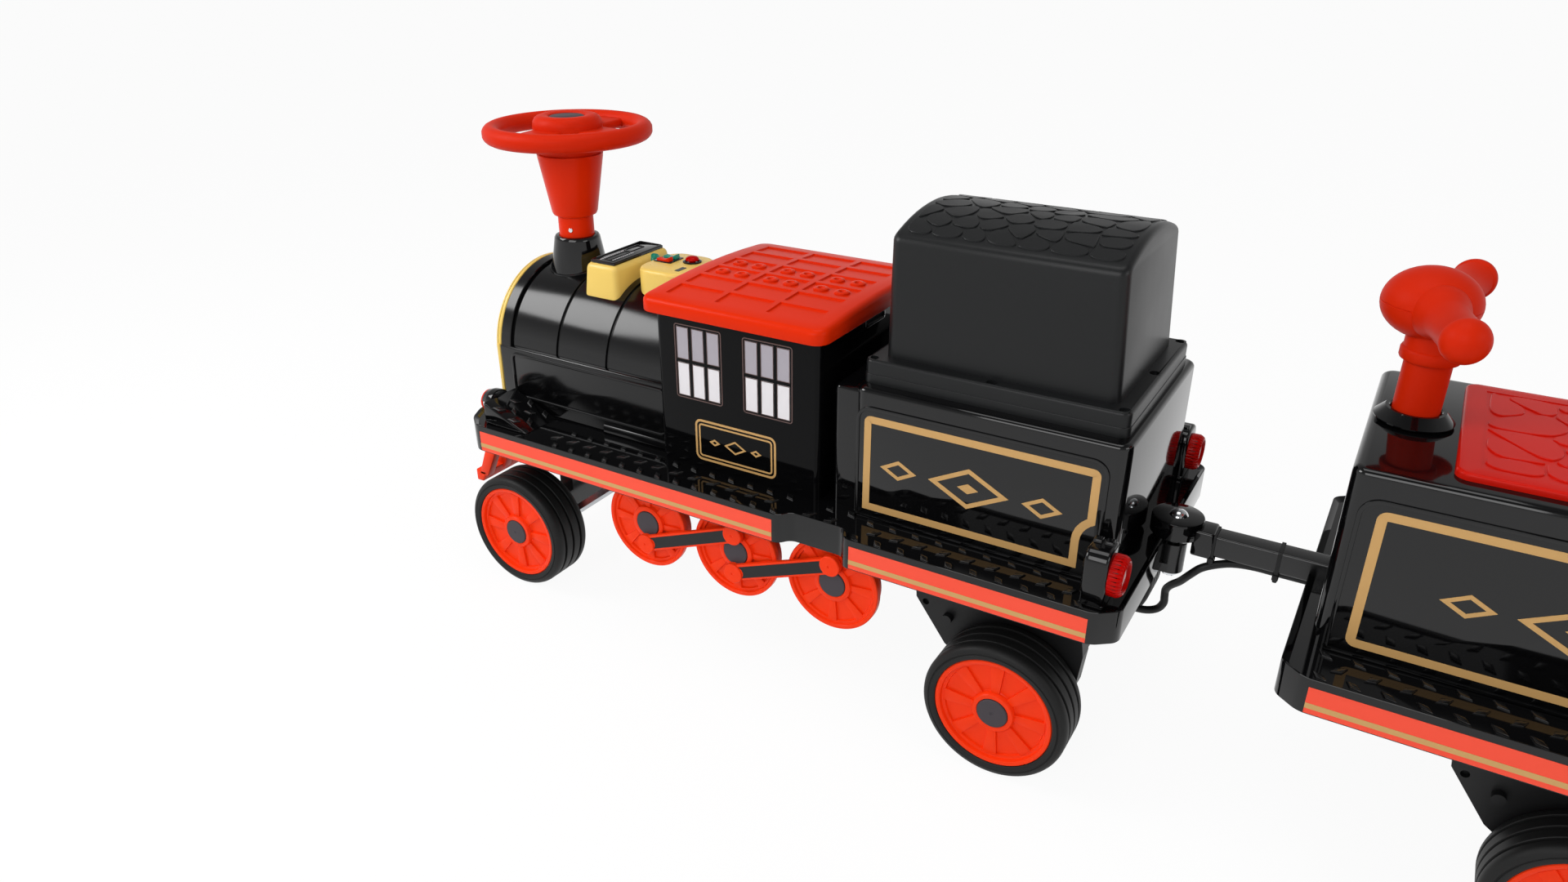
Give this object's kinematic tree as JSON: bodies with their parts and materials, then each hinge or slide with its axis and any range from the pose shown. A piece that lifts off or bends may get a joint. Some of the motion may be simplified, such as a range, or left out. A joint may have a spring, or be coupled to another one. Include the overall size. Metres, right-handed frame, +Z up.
{
  "type": "ride-on train",
  "caption": "Ride-on electric train in black, red and yellow: a steerable locomotive with a seat tender, and a coupled wagon with a seat and handlebar.",
  "frame": {"origin": "bottom centre of the whole train, on the ground under its middle", "axes": "+X forward towards the locomotive's smokebox, +Y to the rider's left, +Z up"},
  "size_m": [1.535, 0.402, 0.6305],
  "materials": {
    "black_abs": "gloss black moulded shell",
    "satin_black_abs": "satin black moulded seat",
    "panel_black": "gloss black panel",
    "red_abs": "gloss orange-red",
    "yellow_abs": "gloss pale yellow",
    "green_abs": "gloss green",
    "clear_lens": "clear lens over a bright reflector",
    "red_lens": "translucent red",
    "black_steel": "black powder coat",
    "zinc_steel": "zinc plated",
    "gearbox_plastic": "matt black",
    "battery_case": "dark grey",
    "chrome_steel": "polished",
    "cable_rubber": "matt black jacket",
    "tyre_rubber": "satin black"
  },
  "bodies": {
    "locomotive": {"running_board": "black_abs", "chassis_frame": "black_steel", "boiler_shell": "black_abs", "smokebox_front": "yellow_abs", "chimney_base": "black_abs", "music_console": "yellow_abs", "music_panel": "panel_black", "switch_console": "yellow_abs", "cab_shell": "black_abs", "tender_shell": "black_abs", "seat_box": "satin_black_abs", "seat_screws": "zinc_steel", "headlamp_rings": "red_abs", "headlamp_lenses": "clear_lens", "tail_lamp_housings": "black_abs", "tail_lamp_lenses": "red_lens", "pilot": "red_abs", "dummy_wheels": "red_abs", "coupling_rods": "red_abs", "front_axle_beam": "black_steel", "rear_axle": "zinc_steel", "drive_units": "gearbox_plastic", "battery": "battery_case", "hitch_bracket": "black_steel", "hitch_bolt": "chrome_steel", "cable_front": "cable_rubber"},
    "wagon": {"wagon_board": "black_abs", "wagon_body": "black_abs", "wagon_seat": "red_abs", "handle_collar": "black_abs", "handle_stem": "red_abs", "handle_grip": "red_abs", "drawbar": "black_steel", "coupling_eye": "black_abs", "wagon_axle": "zinc_steel", "wagon_drive_units": "gearbox_plastic", "wagon_hitch_bracket": "black_steel", "cable_rear": "cable_rubber"},
    "steering": {"steering_wheel": "red_abs", "funnel_sleeve": "red_abs", "steering_shaft": "zinc_steel"},
    "tie_rod": {"tie_rod": "zinc_steel"},
    "knuckle_left": {"knuckle_left": "zinc_steel"},
    "knuckle_right": {"knuckle_right": "zinc_steel"},
    "rocker_red": {"rocker_red": "red_abs"},
    "rocker_green": {"rocker_green": "green_abs"},
    "start_button": {"start_button": "red_abs"},
    "cab_roof": {"cab_roof": "red_abs"},
    "front_wheel_left": {"front_rim_left": "red_abs", "front_tyre_left": "tyre_rubber"},
    "front_wheel_right": {"front_rim_right": "red_abs", "front_tyre_right": "tyre_rubber"},
    "rear_wheel_left": {"rear_rim_left": "red_abs", "rear_tyre_left": "tyre_rubber"},
    "rear_wheel_right": {"rear_rim_right": "red_abs", "rear_tyre_right": "tyre_rubber"},
    "wagon_wheel_left": {"wagon_rim_left": "red_abs", "wagon_tyre_left": "tyre_rubber"},
    "wagon_wheel_right": {"wagon_rim_right": "red_abs", "wagon_tyre_right": "tyre_rubber"}
  },
  "joints": [
    {"name": "steering_turn", "type": "hinge", "parent": "locomotive", "child": "steering", "pos_m": [0.65663, 0, 0.242], "axis": [0, 0, 1], "range_deg": [-20, 20]},
    {"name": "knuckle_left_turn", "type": "hinge", "parent": "locomotive", "child": "knuckle_left", "pos_m": [0.65663, 0.106, 0.0825], "axis": [0, 0, 1], "range_deg": [-20, 20]},
    {"name": "knuckle_right_turn", "type": "hinge", "parent": "locomotive", "child": "knuckle_right", "pos_m": [0.65663, -0.106, 0.0825], "axis": [0, 0, 1], "range_deg": [-20, 20]},
    {"name": "tie_rod_swing", "type": "hinge", "parent": "knuckle_left", "child": "tie_rod", "pos_m": [0.61663, 0.106, 0.0825], "axis": [0, 0, 1], "range_deg": [-20, 20]},
    {"name": "front_wheel_left_roll", "type": "hinge", "parent": "knuckle_left", "child": "front_wheel_left", "pos_m": [0.65663, 0.152, 0.0825], "axis": [0, 1, 0], "continuous": true},
    {"name": "front_wheel_right_roll", "type": "hinge", "parent": "knuckle_right", "child": "front_wheel_right", "pos_m": [0.65663, -0.152, 0.0825], "axis": [0, 1, 0], "continuous": true},
    {"name": "rear_wheel_left_roll", "type": "hinge", "parent": "locomotive", "child": "rear_wheel_left", "pos_m": [-0.06237, 0.171, 0.0825], "axis": [0, 1, 0], "continuous": true},
    {"name": "rear_wheel_right_roll", "type": "hinge", "parent": "locomotive", "child": "rear_wheel_right", "pos_m": [-0.06237, -0.171, 0.0825], "axis": [0, 1, 0], "continuous": true},
    {"name": "wagon_wheel_left_roll", "type": "hinge", "parent": "wagon", "child": "wagon_wheel_left", "pos_m": [-0.60037, 0.171, 0.0825], "axis": [0, 1, 0], "continuous": true},
    {"name": "wagon_wheel_right_roll", "type": "hinge", "parent": "wagon", "child": "wagon_wheel_right", "pos_m": [-0.60037, -0.171, 0.0825], "axis": [0, 1, 0], "continuous": true},
    {"name": "wagon_yaw", "type": "hinge", "parent": "locomotive", "child": "wagon", "pos_m": [-0.18537, 0, 0.256], "axis": [0, 0, 1], "range_deg": [-30, 30]},
    {"name": "rocker_red_tilt", "type": "hinge", "parent": "locomotive", "child": "rocker_red", "pos_m": [0.50563, 0, 0.452], "axis": [0, 1, 0], "range_deg": [-18, 0]},
    {"name": "rocker_green_tilt", "type": "hinge", "parent": "locomotive", "child": "rocker_green", "pos_m": [0.50563, -0.015, 0.452], "axis": [0, 1, 0], "range_deg": [-18, 0]},
    {"name": "start_button_press", "type": "slide", "parent": "locomotive", "child": "start_button", "axis": [0, 0, -1], "range_m": [0, 0.003], "stiffness_N_per_m": 400},
    {"name": "cab_roof_lift", "type": "slide", "parent": "locomotive", "child": "cab_roof", "axis": [0, 0, 1], "range_m": [0, 0.08]}
  ],
  "couplings": [
    {"joint": "knuckle_left_turn", "follows": "steering_turn", "ratio": 1},
    {"joint": "knuckle_right_turn", "follows": "steering_turn", "ratio": 1},
    {"joint": "tie_rod_swing", "follows": "steering_turn", "ratio": -1}
  ]
}
